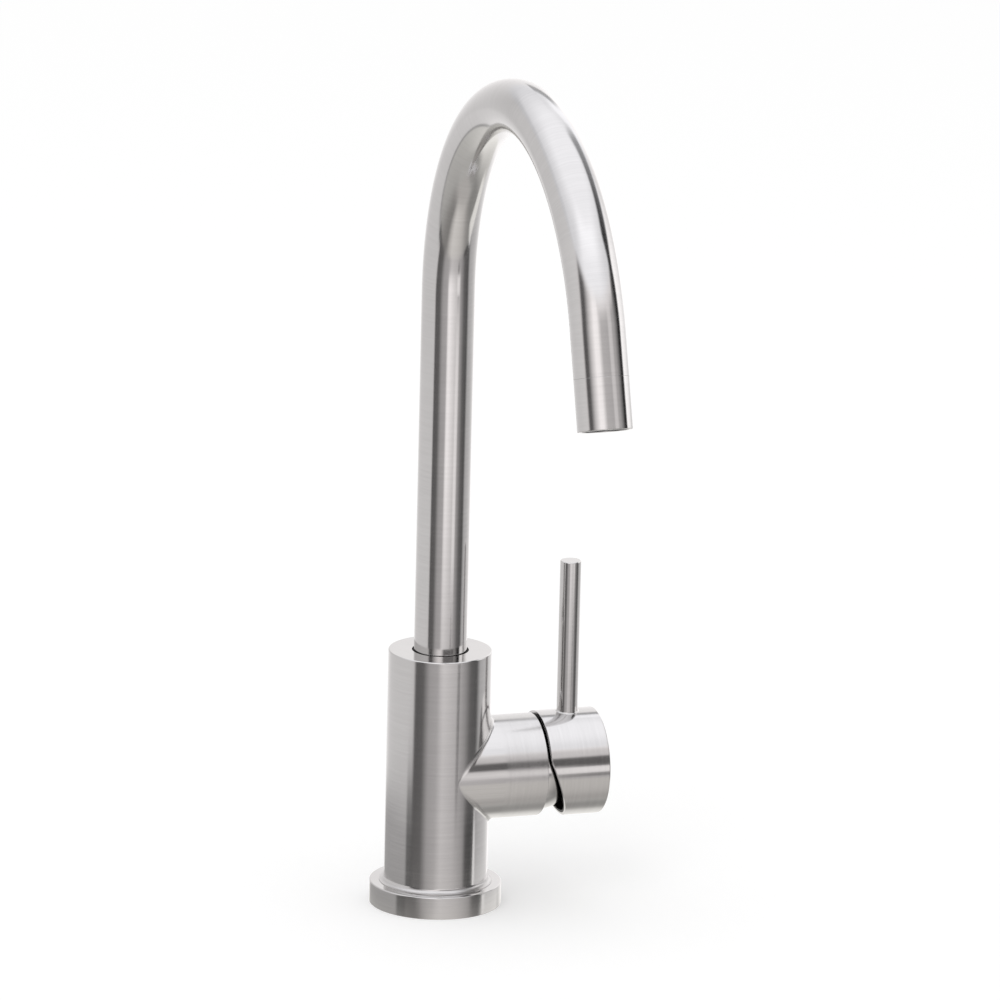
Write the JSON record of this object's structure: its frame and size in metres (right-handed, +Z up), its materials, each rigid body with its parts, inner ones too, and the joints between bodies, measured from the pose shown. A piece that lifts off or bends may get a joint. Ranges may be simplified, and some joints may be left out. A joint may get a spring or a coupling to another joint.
{
  "type": "gooseneck bar faucet",
  "caption": "Bar faucet with a swivelling gooseneck spout and a side lever that tilts for flow and turns for temperature.",
  "frame": {"origin": "centre of the base ring's underside, on the column's axis", "axes": "+Z up along the column, -Y the way the spout points at rest, +X out along the side barrel to the handle"},
  "size_m": [0.0873, 0.2172, 0.3356],
  "materials": {
    "brushed_steel": "brushed",
    "dark_steel": "plain",
    "brass": "turned",
    "rubber": "matte",
    "acetal": "matte",
    "grey_plastic": "matte",
    "ceramic": "lapped"
  },
  "bodies": {
    "faucet_body": {"body": "brushed_steel", "escutcheon": "brushed_steel", "base_gasket": "rubber", "spout_wiper_ring": "rubber", "spout_retaining_screw": "dark_steel", "cartridge_base": "grey_plastic", "port_seals": "rubber", "disc_seals": "rubber", "fixed_disc": "ceramic", "cartridge_housing": "grey_plastic", "retaining_nut": "brass", "bonnet": "brushed_steel"},
    "spout": {"spout_tube": "brushed_steel", "spout_connector": "brass", "spout_o_rings": "rubber", "upper_slip_ring": "acetal", "lower_slip_ring": "acetal", "outlet_sleeve": "brushed_steel", "aerator_housing": "grey_plastic", "aerator_insert": "acetal", "aerator_screen": "dark_steel", "aerator_washer": "rubber"},
    "carrier": {"stem_carrier": "acetal", "pivot_pin": "dark_steel"},
    "disc_set": {"moving_disc": "ceramic", "drive_plate": "grey_plastic"},
    "lever": {"stem": "dark_steel", "hub": "brushed_steel", "lever_rod": "brushed_steel", "hub_set_screw": "dark_steel", "hub_plug": "grey_plastic"}
  },
  "joints": [
    {"name": "spout_swivel", "type": "hinge", "parent": "faucet_body", "child": "spout", "pos_m": [0, 0, 0.0988], "axis": [0, 0, 1], "continuous": true},
    {"name": "temperature_turn", "type": "hinge", "parent": "faucet_body", "child": "carrier", "pos_m": [0.0386, 0, 0.0514], "axis": [1, 0, 0], "range_deg": [-45, 45]},
    {"name": "lever_tilt", "type": "hinge", "parent": "carrier", "child": "lever", "pos_m": [0.0386, 0, 0.0514], "axis": [0, 1, 0], "range_deg": [0, 25]},
    {"name": "disc_slide", "type": "slide", "parent": "carrier", "child": "disc_set", "axis": [0, 0, 1], "range_m": [0, 0.0039]}
  ],
  "couplings": [
    {"joint": "disc_slide", "follows": "lever_tilt", "m_per_rad": 0.0088}
  ]
}
